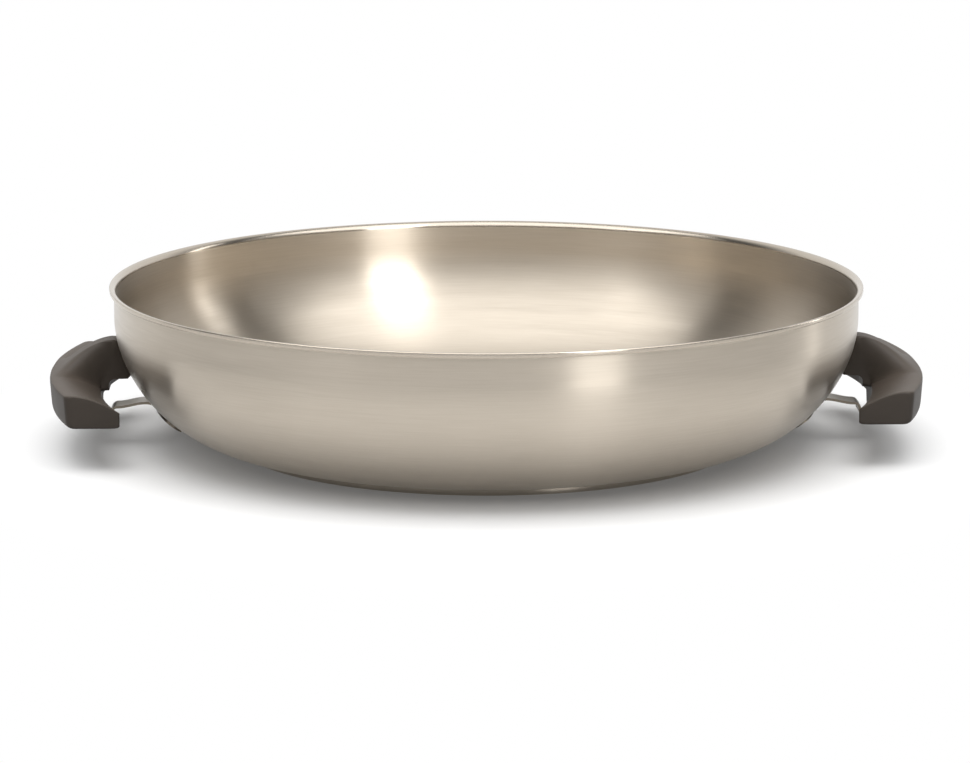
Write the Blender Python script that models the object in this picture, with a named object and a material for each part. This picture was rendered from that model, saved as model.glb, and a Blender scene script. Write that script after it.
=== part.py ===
"""A wide, low wok of brushed stainless steel with two fixed side handles.

Lengths are in metres and +Z is up. The origin lies under the middle of the base, on the
surface that the wok stands on. The handles point along +X and -X. Heights are measured from
that surface, and radii from the upright axis of the bowl.
"""

import math

import bmesh
import bpy

# Gap that is left between two pieces that touch
FIT = 0.0003

# Bowl, drawn from one sheet
BOWL_RADIUS = 0.1778         # outside of the upright wall
BOWL_HEIGHT = 0.0776         # top of the rim
BOWL_SHEET = 0.0012
UPRIGHT_WALL = 0.0154        # straight band of wall under the rim
FOOT_RADIUS = 0.1219         # where the flat bottom starts to rise
WALL_FULLNESS = 1.82         # exponent of the curve, 2 is an ellipse and 1 a straight cone
LIP_REACH = 0.0022           # how far the turned lip stands outside the wall
LIP_HEIGHT = 0.0022          # height of the lip's outer edge
LIP_BEND = 0.0009            # inside radius where wall turns into lip

# Capsule base, an aluminium plate under a pressed steel dish
CAP_SHEET = 0.0008
CORE_THICKNESS = 0.0025
CAP_CORNER = 0.0022          # outside radius of the dish's lower edge

# Handle grip, a low bar that runs round the bowl
GRIP_OFFSET = 0.0070         # inner face of the bar outside the upright wall
GRIP_DEPTH = 0.0241          # from inner to outer face
GRIP_HALF_LENGTH = 0.0680
GRIP_UNDERSIDE = 0.0207
GRIP_OUTER_EDGE = 0.0152     # height of the bar at its outer face
GRIP_INNER_EDGE = 0.0074     # height of the bar at its inner face
GRIP_DRAFT = 0.0009          # how much further out the top of the outer face lies
GRIP_CROWN = 0.0016          # bulge of the bar's top near the outer face
GRIP_CROWN_INSET = 0.0030    # from the outer face to that bulge
GRIP_BELLY = 0.0025          # radius along the lower outer edge
GRIP_END_CORNER = 0.0024     # radius of the outer corners, seen from above
GRIP_END_EDGE = 0.0010       # rounding of the other edges round each end face

# Handle neck, which rises from the bar and bears on the wall
NECK_TOP = 0.0511
NECK_TIP = 0.0343            # lowest point of the face that bears on the wall
NECK_HALF_WIDTH = 0.0070     # at the wall
NECK_EDGE = 0.0030           # width over which the neck's sides round off
SHOULDER_HALF_WIDTH = 0.0190
SHOULDER_BLEND = 0.0260      # width over which the neck flows into the bar
CREST_LEAN = 0.0060          # inward pull of the crest curve at the outer face
CREST_RISE = 0.0003          # upward pull there
CREST_RUN = 0.0145           # outward pull of the crest curve at the wall
CREST_LIFT = 0.0008          # upward pull there

# Hollow under the neck for the fingertips
HOLLOW_ROOF = 0.0321
HOLLOW_STOP = 0.0041         # outer side of the hollow, inside the bar's inner face
HOLLOW_CORNER = 0.0030
HOLLOW_LEDGE = 0.0264        # underside of the thick part between hollow and bar

# Boss under the middle of the bar, which sits on the strap
BOSS_HALF_WIDTH = 0.0092
BOSS_WALL = 0.0016           # plastic beyond the strap's end
BOSS_EDGE = 0.0004           # bevel on its lower edges

# Bracket, a bent steel sheet whose plate is welded to the bowl
BRACKET_SHEET = 0.0012
PLATE_LOW = 0.0125           # lower edge of the plate
PLATE_HIGH = 0.0175          # where the sheet leaves the wall
PLATE_HALF_WIDTH = 0.0360
PLATE_CORNER = 0.0040
STRAP_HALF_WIDTH = 0.0065
STRAP_HIGH = 0.0196          # underside of the strap near the wall
STRAP_FALL = 0.0020          # how far it sinks on its way to the step
STRAP_LOW = 0.0118           # underside under the handle
STEP_GAP = 0.0044            # from the step in the strap to the bar's inner face
STEP_BEND = 0.0026           # radius of the step's two bends
STRAP_END = 0.0062           # strap beyond the screw
STRAP_SINK = 0.0002          # how far the strap lies inside the boss

# Screw, spring washer and moulded-in thread insert
SCREW_INSET = 0.0100         # screw axis outside the bar's inner face
THREAD_RADIUS = 0.0020
SCREW_GRIP = 0.0075          # length of thread inside the insert
HEAD_RADIUS = 0.0039
HEAD_HEIGHT = 0.0024
WASHER_RADIUS = 0.0036
WASHER_THICKNESS = 0.0009
WASHER_SPLIT = 0.0010
INSERT_WALL = 0.0014
INSERT_LENGTH = 0.0090
INSERT_GROOVE = 0.0005

# Worked out from the sizes above
BASE_TOP = CAP_SHEET + FIT + CORE_THICKNESS + FIT
CURVE_TOP = BOWL_HEIGHT - UPRIGHT_WALL
GRIP_INNER = BOWL_RADIUS + GRIP_OFFSET
GRIP_OUTER = GRIP_INNER + GRIP_DEPTH
SCREW_AXIS = GRIP_INNER + SCREW_INSET
STRAP_TOP = STRAP_LOW + BRACKET_SHEET
BOSS_UNDERSIDE = STRAP_LOW - STRAP_SINK
BOSS_OUTER = SCREW_AXIS + STRAP_END + FIT + BOSS_WALL
HOLLOW_OUTER = GRIP_INNER - HOLLOW_STOP
INSERT_RADIUS = THREAD_RADIUS + FIT + INSERT_WALL

# Facets
ROUND_STEPS = 64
SMALL_STEPS = 18
STATION_STEP = 0.0080        # widest step between two sections of the handle
TIP_ANGLES = [math.radians(a) for a in (25, 50, 70, 85)]     # round the strap's end


def blend(a, b, share):
    """Value that goes from a to b as share goes from 0 to 1."""
    return a + (b - a) * share


def ease(x):
    """Smooth step from 0 to 1, held outside that range."""
    x = min(max(x, 0.0), 1.0)
    return x * x * (3.0 - 2.0 * x)


def bezier(points, u):
    """Point at u on the curve with these control points, by repeated halfway blending."""
    points = [tuple(p) for p in points]
    while len(points) > 1:
        points = [tuple(blend(a, b, u) for a, b in zip(p, q)) for p, q in zip(points, points[1:])]
    return points[0]


def arc(centre, radius, start, end, count):
    """Points on an arc in a section, angles in degrees from the radial direction."""
    angles = [math.radians(blend(start, end, i / count)) for i in range(count + 1)]
    return [(centre[0] + radius * math.cos(a), centre[1] + radius * math.sin(a)) for a in angles]


# Bowl profile


def wall_point(turn):
    """Outer surface of the bowl, from the upright wall at turn 0 to the foot at turn 1."""
    angle = turn * math.pi / 2
    power = 2.0 / WALL_FULLNESS
    r = FOOT_RADIUS + (BOWL_RADIUS - FOOT_RADIUS) * max(math.cos(angle), 0.0) ** power
    z = CURVE_TOP - (CURVE_TOP - BASE_TOP) * math.sin(angle) ** power
    return r, z


def wall_radius(z):
    """Radius of the bowl's outer surface at a height."""
    if z >= CURVE_TOP:
        return BOWL_RADIUS
    drop = (CURVE_TOP - z) / (CURVE_TOP - BASE_TOP)
    return wall_point(math.asin(min(drop, 1.0) ** (WALL_FULLNESS / 2)) * 2 / math.pi)[0]


def wall_normal(z):
    """Outward direction of the bowl's outer surface at a height, in a section."""
    step = 0.00001
    rise, run = 2 * step, wall_radius(z + step) - wall_radius(z - step)
    length = math.hypot(rise, run)
    return rise / length, -run / length


def beside_wall(z, distance):
    """Point at a distance outside the bowl's surface, measured from the surface at height z."""
    out, up = wall_normal(z)
    return wall_radius(z) + out * distance, z + up * distance


# Meshes


def add_object(name, mesh_data, colour, roughness, metallic, parent=None):
    """Object with its own material, under a parent that turns it to its side of the bowl."""
    piece = bpy.data.objects.new(name, mesh_data)
    bpy.context.collection.objects.link(piece)
    piece.parent = parent
    material = bpy.data.materials.new(name)
    material.use_nodes = True
    shader = material.node_tree.nodes["Principled BSDF"]
    shader.inputs["Base Color"].default_value = (*colour, 1.0)
    shader.inputs["Roughness"].default_value = roughness
    shader.inputs["Metallic"].default_value = metallic
    if not mesh_data.materials:
        mesh_data.materials.append(None)
    piece.material_slots[0].link = "OBJECT"
    piece.material_slots[0].material = material
    return piece


def finished_mesh(name, bm, sharp_degrees=32):
    """Mesh with its faces turned outwards, smooth except across sharp edges."""
    bmesh.ops.recalc_face_normals(bm, faces=bm.faces)
    mesh_data = bpy.data.meshes.new(name)
    bm.to_mesh(mesh_data)
    bm.free()
    mesh_data.shade_smooth()
    mesh_data.set_sharp_from_angle(angle=math.radians(sharp_degrees))
    return mesh_data


def turned(name, outline, steps, axis_at=0.0):
    """Solid of revolution from an outline of (radius, height) that starts and ends on the axis."""
    bm = bmesh.new()
    corners = [bm.verts.new((r, 0.0, z)) for r, z in outline]
    edges = [bm.edges.new(pair) for pair in zip(corners, corners[1:])]
    bmesh.ops.spin(bm, geom=corners + edges, cent=(0, 0, 0), axis=(0, 0, 1), steps=steps,
                   angle=2 * math.pi)
    bmesh.ops.remove_doubles(bm, verts=bm.verts, dist=0.000005)
    bmesh.ops.translate(bm, verts=bm.verts, vec=(axis_at, 0.0, 0.0))
    return finished_mesh(name, bm)


def ring(name, outline, steps, axis_at, open_angle=0.0):
    """Ring from a closed outline of (radius, height), split where open_angle is above 0."""
    bm = bmesh.new()
    corners = [bm.verts.new((r, 0.0, z)) for r, z in outline]
    if open_angle:
        section = [bm.faces.new(corners)]
    else:
        section = [bm.edges.new(pair) for pair in zip(corners, corners[1:] + corners[:1])]
    made = bmesh.ops.spin(bm, geom=corners + section, cent=(0, 0, 0), axis=(0, 0, 1), steps=steps,
                          angle=2 * math.pi - open_angle)
    if open_angle:
        last = [v for v in made["geom_last"] if isinstance(v, bmesh.types.BMVert)]
        if not [f for f in made["geom_last"] if isinstance(f, bmesh.types.BMFace)]:
            bmesh.ops.contextual_create(bm, geom=last)
    else:
        bmesh.ops.remove_doubles(bm, verts=bm.verts, dist=0.000005)
    bmesh.ops.translate(bm, verts=bm.verts, vec=(axis_at, 0.0, 0.0))
    return finished_mesh(name, bm)


def lofted(name, sections, sharp_degrees=32):
    """Solid through closed sections with equal point counts, capped at both ends."""
    bm = bmesh.new()
    rows = [[bm.verts.new(p) for p in section] for section in sections]
    for row, following in zip(rows, rows[1:]):
        for i in range(len(row)):
            j = (i + 1) % len(row)
            bm.faces.new((row[i], row[j], following[j], following[i]))
    bmesh.ops.triangulate(bm, faces=list(bm.faces))
    bm.faces.new(rows[0])
    bm.faces.new(list(reversed(rows[-1])))
    return finished_mesh(name, bm, sharp_degrees)


def round_the_bowl(r, y, z):
    """Place of a section point at radius r on the upright plane that lies y off the middle."""
    return math.sqrt(r * r - y * y), y, z


def cut(mesh_data, cutters, name):
    """Mesh of a piece after its cutters have been taken out of it."""
    piece = bpy.data.objects.new(name, mesh_data)
    bpy.context.collection.objects.link(piece)
    tools = []
    for number, cutter_mesh in enumerate(cutters):
        tool = bpy.data.objects.new(f"{name}_cutter_{number}", cutter_mesh)
        bpy.context.collection.objects.link(tool)
        tool.hide_render = True
        tool.display_type = "WIRE"
        modifier = piece.modifiers.new(tool.name, "BOOLEAN")
        modifier.operation = "DIFFERENCE"
        modifier.solver = "EXACT"
        modifier.object = tool
        tools.append(tool)
    depsgraph = bpy.context.evaluated_depsgraph_get()
    result = bpy.data.meshes.new_from_object(piece.evaluated_get(depsgraph))
    for leftover in [piece] + tools:
        bpy.data.objects.remove(leftover, do_unlink=True)
    result.name = name
    result.shade_smooth()
    result.set_sharp_from_angle(angle=math.radians(32))
    return result


def box(name, low, high):
    """Box between two corners."""
    bm = bmesh.new()
    bmesh.ops.create_cube(bm, size=1.0)
    for vertex in bm.verts:
        for k in range(3):
            vertex.co[k] = blend(low[k], high[k], vertex.co[k] + 0.5)
    return finished_mesh(name, bm)


def pin(name, radius, low, high, axis_at):
    """Plain upright cylinder."""
    return turned(name, [(0, low), (radius, low), (radius, high), (0, high)], SMALL_STEPS, axis_at)


# Bowl and base


def bowl_mesh():
    """One sheet: flat bottom, curved side, upright wall and a lip turned outwards."""
    curve = [wall_point(1 - i / 10) for i in range(11)]
    outer = [(0.0, BASE_TOP)] + curve
    inner = [(0.0, BASE_TOP + BOWL_SHEET)]
    for r, z in curve:
        out, up = wall_normal(min(max(z, BASE_TOP + 0.0001), CURVE_TOP))
        inner.append((r - out * BOWL_SHEET, z - up * BOWL_SHEET))
    lip_low = BOWL_HEIGHT - LIP_HEIGHT
    lip_edge = LIP_HEIGHT / 2
    under = arc((BOWL_RADIUS + LIP_BEND, lip_low - LIP_BEND), LIP_BEND, 180, 90, 2)
    edge = arc((BOWL_RADIUS + LIP_REACH - lip_edge, lip_low + lip_edge), lip_edge, -90, 90, 4)
    turn = BOWL_SHEET + LIP_REACH - lip_edge
    over = arc((BOWL_RADIUS - BOWL_SHEET + turn, BOWL_HEIGHT - turn), turn, 90, 180, 4)
    return turned("pan_body", outer + under + edge + over + inner[::-1], ROUND_STEPS)


def cap_mesh():
    """Shallow dish that wraps the aluminium plate from below."""
    top = BASE_TOP - FIT
    outer = arc((FOOT_RADIUS - CAP_CORNER, CAP_CORNER), CAP_CORNER, -90, 0, 4)
    inside = CAP_CORNER - CAP_SHEET
    inner = arc((FOOT_RADIUS - CAP_CORNER, CAP_CORNER), inside, 0, -90, 4)
    return turned("base_cap", [(0, 0)] + outer + [(FOOT_RADIUS, top), (FOOT_RADIUS - CAP_SHEET, top)]
                  + inner + [(0, CAP_SHEET)], ROUND_STEPS)


def core_mesh():
    """Aluminium plate that spreads the heat, with its lower edge rounded like the dish."""
    radius = FOOT_RADIUS - CAP_SHEET - FIT
    corner = CAP_CORNER - CAP_SHEET
    low = CAP_SHEET + FIT
    edge = arc((radius - corner, low + corner), corner, -90, 0, 3)
    return turned("base_core", [(0, low)] + edge + [(radius, BASE_TOP - FIT), (0, BASE_TOP - FIT)],
                  ROUND_STEPS)


# Handle sections


def neck_section():
    """Runs of the section in the middle of the handle, from the boss outwards and round."""
    outer_low = GRIP_UNDERSIDE + GRIP_BELLY
    outer_top = GRIP_UNDERSIDE + GRIP_OUTER_EDGE
    wall_top = (wall_radius(NECK_TOP) + FIT, NECK_TOP)
    crest = [(GRIP_OUTER, outer_top), (GRIP_OUTER - CREST_LEAN, outer_top + CREST_RISE),
             (wall_top[0] + CREST_RUN, NECK_TOP + CREST_LIFT), wall_top]
    tip = (wall_radius(HOLLOW_ROOF) + FIT, HOLLOW_ROOF)
    ledge = (HOLLOW_OUTER - HOLLOW_CORNER, HOLLOW_LEDGE)
    heel = (GRIP_INNER, HOLLOW_LEDGE)
    boss = (GRIP_INNER, GRIP_UNDERSIDE)
    foot = (GRIP_INNER, BOSS_UNDERSIDE + BOSS_EDGE)
    return [
        [(GRIP_INNER + BOSS_EDGE, BOSS_UNDERSIDE), (SCREW_AXIS, BOSS_UNDERSIDE)],
        [(BOSS_OUTER, BOSS_UNDERSIDE), (BOSS_OUTER + BOSS_EDGE, GRIP_UNDERSIDE)],
        arc((GRIP_OUTER - GRIP_DRAFT - GRIP_BELLY, outer_low), GRIP_BELLY, -90, 0, 3),
        [bezier(crest, i / 8) for i in range(8)],
        [(wall_radius(z) + FIT, z) for z in [blend(NECK_TOP, tip[1], i / 4) for i in range(4)]],
        [bezier([tip, ledge], i / 3) for i in range(3)],
        [bezier([ledge, heel], i / 4) for i in range(4)],
        [bezier([heel, boss], i / 4) for i in range(4)],
        [bezier([boss, foot], i / 2) for i in range(3)],
    ]


def grip_section(counts):
    """Runs of the bar's section, with as many points in each as the neck's."""
    outer_low = GRIP_UNDERSIDE + GRIP_BELLY
    outer_top = GRIP_UNDERSIDE + GRIP_OUTER_EDGE
    inner_top = GRIP_UNDERSIDE + GRIP_INNER_EDGE
    middle = (blend(GRIP_INNER, GRIP_OUTER, 0.5), outer_top)
    top = [(GRIP_OUTER, outer_top), (GRIP_OUTER - GRIP_CROWN_INSET, outer_top + GRIP_CROWN), middle,
           (GRIP_INNER, inner_top)]
    above, below = sum(counts[4:7]), sum(counts[7:])
    low = GRIP_UNDERSIDE + BOSS_EDGE
    face = [(GRIP_INNER, blend(inner_top, HOLLOW_LEDGE, i / above)) for i in range(above)]
    face += [(GRIP_INNER, blend(HOLLOW_LEDGE, low, i / (below - 1))) for i in range(below)]
    runs = [
        [(GRIP_INNER + BOSS_EDGE, GRIP_UNDERSIDE), (SCREW_AXIS, GRIP_UNDERSIDE)],
        [(BOSS_OUTER, GRIP_UNDERSIDE), (BOSS_OUTER + BOSS_EDGE, GRIP_UNDERSIDE)],
        arc((GRIP_OUTER - GRIP_DRAFT - GRIP_BELLY, outer_low), GRIP_BELLY, -90, 0, 3),
        [bezier(top, i / counts[3]) for i in range(counts[3])],
    ]
    for count in counts[4:]:
        runs.append(face[:count])
        face = face[count:]
    return runs


def run_widths(run, u):
    """Half width of the neck and the width of its blend into the bar, along each run."""
    boss = (BOSS_HALF_WIDTH, NECK_EDGE)
    shoulder = (SHOULDER_HALF_WIDTH, SHOULDER_BLEND)
    neck = (NECK_HALF_WIDTH, NECK_EDGE)
    ends = [(boss, boss), (boss, boss), (shoulder, shoulder), (shoulder, neck), (neck, neck),
            (neck, neck), (neck, neck), (boss, boss), (boss, boss)]
    first, last = ends[run]
    return blend(first[0], last[0], u), blend(first[1], last[1], u)


def handle_stations():
    """Distances from the middle, close together where the neck's sides turn."""
    bands = [run_widths(3, 0), run_widths(3, 0.5), run_widths(4, 0), run_widths(0, 0)]
    marks = [0.0, GRIP_HALF_LENGTH]
    for half, width in bands:
        marks += [half + width * k / 4 for k in (-2, -1, 0, 1, 2)]
    marks += [GRIP_HALF_LENGTH - GRIP_END_CORNER * k for k in (0.06, 0.3, 0.6, 1.0)]
    marks = sorted(m for m in marks if 0 <= m <= GRIP_HALF_LENGTH)
    spaced = [0.0]
    for mark in marks[1:]:
        if mark - spaced[-1] < 0.0004 and mark < GRIP_HALF_LENGTH:
            continue
        fill = int((mark - spaced[-1]) / STATION_STEP)
        spaced += [blend(spaced[-1], mark, k / (fill + 1)) for k in range(1, fill + 1)]
        spaced.append(mark)
    return [-s for s in reversed(spaced[1:])] + spaced


def rounded_off(distance, radius):
    """How far a face draws in at this distance from an end that has this corner radius."""
    depth = max(radius - distance, 0.0)
    return radius - math.sqrt(max(radius * radius - depth * depth, 0.0))


def handle_section(y):
    """Points of the handle on the plane at y."""
    neck = neck_section()
    grip = grip_section([len(run) for run in neck])
    to_end = GRIP_HALF_LENGTH - abs(y)
    corner = rounded_off(to_end, GRIP_END_CORNER)
    edge = rounded_off(to_end, GRIP_END_EDGE)
    points = []
    for number, (neck_run, grip_run) in enumerate(zip(neck, grip)):
        for i, (middle, bar) in enumerate(zip(neck_run, grip_run)):
            half, width = run_widths(number, i / len(neck_run))
            share = 1.0 - ease((abs(y) - half) / width + 0.5)
            r, z = blend(bar[0], middle[0], share), blend(bar[1], middle[1], share)
            outward = (r - GRIP_INNER) / GRIP_DEPTH
            upward = (z - GRIP_UNDERSIDE) / GRIP_OUTER_EDGE
            r += blend(edge, -corner, outward)
            z += blend(edge, -edge, upward)
            points.append(round_the_bowl(r, y, z))
    return points


def hollow_cutter():
    """Bar with the outline of the hollow, which runs right across the neck."""
    tip = (wall_radius(NECK_TIP) + FIT, NECK_TIP)
    slope = NECK_TIP - HOLLOW_ROOF
    corner = (HOLLOW_OUTER - HOLLOW_CORNER, HOLLOW_ROOF - HOLLOW_CORNER)
    outline = [(tip[0] - slope, tip[1] + slope), (tip[0] + slope, HOLLOW_ROOF)]
    outline += arc(corner, HOLLOW_CORNER, 90, 0, 5)
    outline += [(HOLLOW_OUTER, GRIP_UNDERSIDE), (tip[0] - slope, GRIP_UNDERSIDE)]
    reach = SHOULDER_HALF_WIDTH
    return lofted("hollow_cutter", [[(r, y, z) for r, z in outline] for y in (-reach, reach)])


def handle_mesh():
    """Moulded handle with its hollow, strap recess and the hole that the thread insert fills."""
    solid = lofted("handle_blank", [handle_section(y) for y in handle_stations()])
    recess_end = SCREW_AXIS + STRAP_END + FIT
    recess = box("strap_recess", (GRIP_INNER - 0.002, -STRAP_HALF_WIDTH - FIT, BOSS_UNDERSIDE - 0.002),
                 (recess_end, STRAP_HALF_WIDTH + FIT, STRAP_TOP + FIT))
    depth = max(INSERT_LENGTH, SCREW_GRIP) + FIT
    hole = pin("insert_hole", INSERT_RADIUS + FIT, STRAP_TOP, STRAP_TOP + FIT + depth, SCREW_AXIS)
    return cut(solid, [hollow_cutter(), recess, hole], "handle")


# Bracket


def bracket_path():
    """Middle line of the bent sheet: up the wall, out, down a step and on under the handle."""
    half = BRACKET_SHEET / 2
    plate = [beside_wall(blend(PLATE_LOW, PLATE_HIGH, i / 6), FIT + half) for i in range(7)]
    high, low = STRAP_HIGH + half, STRAP_LOW + half
    out, up = wall_normal(PLATE_HIGH)
    rise = high - plate[-1][1]
    turn = (plate[-1][0] + rise * -up / out, high)
    after = (2 * turn[0] - plate[-1][0], high)
    bend = [bezier([plate[-1], turn, after], i / 5) for i in range(1, 6)]
    step = GRIP_INNER - STEP_GAP - half
    brow = high - STRAP_FALL
    ramp = [(blend(after[0], step - STEP_BEND, i / 4), blend(high, brow, ease(i / 4)))
            for i in range(1, 4)]
    over = arc((step - STEP_BEND, brow - STEP_BEND), STEP_BEND, 90, 0, 5)
    under = arc((step + STEP_BEND, low + STEP_BEND), STEP_BEND, 180, 270, 5)
    end = SCREW_AXIS + STRAP_END
    flat = [(blend(step + STEP_BEND, end - STRAP_HALF_WIDTH, i / 3), low) for i in range(1, 4)]
    tip = [(end - STRAP_HALF_WIDTH * (1 - math.sin(a)), low) for a in TIP_ANGLES]
    return plate, bend, ramp + over + under + flat, tip


def bracket_mesh():
    """Bent sheet, wide on the bowl and narrow where it runs under the handle."""
    plate, bend, strap, tip = bracket_path()
    path = plate + bend + strap + tip
    widths = []
    for r, z in plate:
        low = rounded_off(z - PLATE_LOW, PLATE_CORNER)
        high = rounded_off(PLATE_HIGH - z, PLATE_CORNER)
        widths.append(PLATE_HALF_WIDTH - low - high)
    widths += [blend(widths[-1], STRAP_HALF_WIDTH, ease(2 * i / 5)) for i in range(1, 6)]
    widths += [STRAP_HALF_WIDTH] * len(strap)
    widths += [STRAP_HALF_WIDTH * math.cos(a) for a in TIP_ANGLES]
    bm = bmesh.new()
    columns = 6
    layers = []
    for side in (-1, 1):
        rows = []
        for i, (r, z) in enumerate(path):
            before, following = path[max(i - 1, 0)], path[min(i + 1, len(path) - 1)]
            dr, dz = following[0] - before[0], following[1] - before[1]
            length = math.hypot(dr, dz)
            shift = side * BRACKET_SHEET / 2
            at = (r - dz / length * shift, z + dr / length * shift)
            across = [blend(-widths[i], widths[i], k / columns) for k in range(columns + 1)]
            rows.append([bm.verts.new(round_the_bowl(at[0], y, at[1])) for y in across])
        layers.append(rows)
    low, high = layers
    for rows in layers:
        for row, following in zip(rows, rows[1:]):
            for k in range(columns):
                bm.faces.new((row[k], row[k + 1], following[k + 1], following[k]))
    for k in (0, columns):
        for i in range(len(path) - 1):
            bm.faces.new((low[i][k], low[i + 1][k], high[i + 1][k], high[i][k]))
    for i in (0, len(path) - 1):
        for k in range(columns):
            bm.faces.new((low[i][k], low[i][k + 1], high[i][k + 1], high[i][k]))
    sheet = finished_mesh("bracket_blank", bm)
    hole = pin("screw_hole", THREAD_RADIUS + FIT, STRAP_LOW - 0.002, STRAP_TOP + 0.002, SCREW_AXIS)
    return cut(sheet, [hole], "bracket")


# Fasteners


def insert_mesh():
    """Brass bush with a groove that keys it into the plastic."""
    bore, outside = THREAD_RADIUS + FIT, INSERT_RADIUS
    low = STRAP_TOP + FIT
    high = low + INSERT_LENGTH
    waist = outside - INSERT_GROOVE
    third = INSERT_LENGTH / 3
    outline = [(bore, low), (outside, low), (outside, low + third), (waist, low + third + INSERT_GROOVE),
               (waist, high - third - INSERT_GROOVE), (outside, high - third), (outside, high),
               (bore, high)]
    return ring("thread_insert", outline, SMALL_STEPS, SCREW_AXIS)


def washer_mesh():
    """Split spring washer between the strap and the screw's head."""
    high = STRAP_LOW - FIT
    low = high - WASHER_THICKNESS
    bore = THREAD_RADIUS + FIT
    outline = [(bore, low), (WASHER_RADIUS, low), (WASHER_RADIUS, high), (bore, high)]
    return ring("lock_washer", outline, SMALL_STEPS, SCREW_AXIS, WASHER_SPLIT / WASHER_RADIUS)


def screw_mesh():
    """Pan-head screw, put in from below."""
    seat = STRAP_LOW - FIT - WASHER_THICKNESS - FIT
    low = seat - HEAD_HEIGHT
    tip = STRAP_TOP + FIT + SCREW_GRIP
    crown = HEAD_HEIGHT * 0.6
    head = [bezier([(0, low), (HEAD_RADIUS, low), (HEAD_RADIUS, low + crown)], i / 5) for i in range(6)]
    shank = [(HEAD_RADIUS, seat), (THREAD_RADIUS, seat), (THREAD_RADIUS, tip - 0.0006),
             (THREAD_RADIUS - 0.0006, tip), (0, tip)]
    return turned("handle_screw", head + shank, SMALL_STEPS, SCREW_AXIS)


STEEL = (0.50, 0.45, 0.39)
BRIGHT_STEEL = (0.56, 0.54, 0.51)
ALUMINIUM = (0.70, 0.70, 0.71)
PHENOLIC = (0.030, 0.026, 0.024)
BRASS = (0.63, 0.47, 0.20)


def main():
    for leftover in list(bpy.data.objects):
        bpy.data.objects.remove(leftover, do_unlink=True)
    add_object("pan_body", bowl_mesh(), STEEL, 0.30, 1.0)
    add_object("base_cap", cap_mesh(), STEEL, 0.25, 1.0)
    add_object("base_core", core_mesh(), ALUMINIUM, 0.35, 1.0)
    kinds = [("handle", handle_mesh(), PHENOLIC, 0.45, 0.0),
             ("bracket", bracket_mesh(), BRIGHT_STEEL, 0.25, 1.0),
             ("handle_screw", screw_mesh(), BRIGHT_STEEL, 0.22, 1.0),
             ("lock_washer", washer_mesh(), BRIGHT_STEEL, 0.35, 1.0),
             ("thread_insert", insert_mesh(), BRASS, 0.30, 1.0)]
    for side, turn in (("right", 0.0), ("left", math.pi)):
        mount = bpy.data.objects.new(f"{side}_side", None)
        bpy.context.collection.objects.link(mount)
        mount.rotation_euler.z = turn
        for kind, mesh_data, colour, roughness, metallic in kinds:
            add_object(f"{side}_{kind}", mesh_data, colour, roughness, metallic, mount)


main()
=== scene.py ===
# %% [markdown]
# # A low steel wok
#
# This lesson dresses a wok: a wide bowl of brushed stainless steel with two short black handles.
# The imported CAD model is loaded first, and each piece is made to its sizes and in its place. The
# cells after it make the camera, the light, the finer pieces that stand for the plain CAD solids,
# and one material for each finish. The file runs from top to bottom in Blender 4.5.

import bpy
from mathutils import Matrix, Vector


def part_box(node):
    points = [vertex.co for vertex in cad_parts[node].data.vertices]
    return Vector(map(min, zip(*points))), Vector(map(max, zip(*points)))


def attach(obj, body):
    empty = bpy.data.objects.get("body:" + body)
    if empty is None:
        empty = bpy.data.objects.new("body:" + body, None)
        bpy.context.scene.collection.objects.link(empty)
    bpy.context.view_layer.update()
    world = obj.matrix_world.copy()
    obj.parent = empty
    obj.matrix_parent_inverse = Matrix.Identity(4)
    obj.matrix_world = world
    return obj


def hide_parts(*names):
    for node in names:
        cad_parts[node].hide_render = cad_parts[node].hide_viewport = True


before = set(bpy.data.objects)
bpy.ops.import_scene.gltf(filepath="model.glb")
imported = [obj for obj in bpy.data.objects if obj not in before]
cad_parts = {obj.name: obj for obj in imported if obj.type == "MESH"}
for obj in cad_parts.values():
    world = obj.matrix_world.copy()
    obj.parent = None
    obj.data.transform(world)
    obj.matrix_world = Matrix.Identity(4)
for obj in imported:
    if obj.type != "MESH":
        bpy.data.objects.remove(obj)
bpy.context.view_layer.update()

# %% Libraries
import math

import bmesh
import bpy
from mathutils import Vector

# %% [markdown]
# ## Camera
#
# The photograph looks slightly down, about ten degrees, through a long lens, so the rim is a
# narrow ellipse and the near and far sides hardly differ in size. The camera could be placed by
# eye. Here its height and lens come from the rim's ellipse and the base's curve. It stands a degree
# and a half to the left of the wok's front, which is why one handle sits lower in the picture.

# %% Camera
PICTURE_WIDTH = 970
PICTURE_HEIGHT = 763
CAMERA_DISTANCE = 2.0
CAMERA_ELEVATION = math.radians(10.11)
CAMERA_TURN = math.radians(1.55)
FOCAL_PIXELS = 4175                       # focal length, counted in pixels of the picture
RIM_HEIGHT = 0.0776
RIM_MIDDLE_IN_PICTURE = (486.3, 281.1)    # in pixels from the top left corner


def add_camera():
    """Camera that looks at the middle of the rim's plane."""
    lens = bpy.data.cameras.new("camera")
    lens.sensor_width = 36.0
    lens.lens = FOCAL_PIXELS / PICTURE_WIDTH * lens.sensor_width
    lens.shift_x = (PICTURE_WIDTH / 2 - RIM_MIDDLE_IN_PICTURE[0]) / PICTURE_WIDTH
    lens.shift_y = (RIM_MIDDLE_IN_PICTURE[1] - PICTURE_HEIGHT / 2) / PICTURE_WIDTH
    lens.clip_start = 0.01
    camera = bpy.data.objects.new("camera", lens)
    bpy.context.scene.collection.objects.link(camera)
    away = CAMERA_DISTANCE * math.cos(CAMERA_ELEVATION)
    camera.location = (-away * math.sin(CAMERA_TURN), -away * math.cos(CAMERA_TURN),
                       RIM_HEIGHT + CAMERA_DISTANCE * math.sin(CAMERA_ELEVATION))
    camera.rotation_euler = (math.pi / 2 - CAMERA_ELEVATION, 0.0, -CAMERA_TURN)
    return camera


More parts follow.
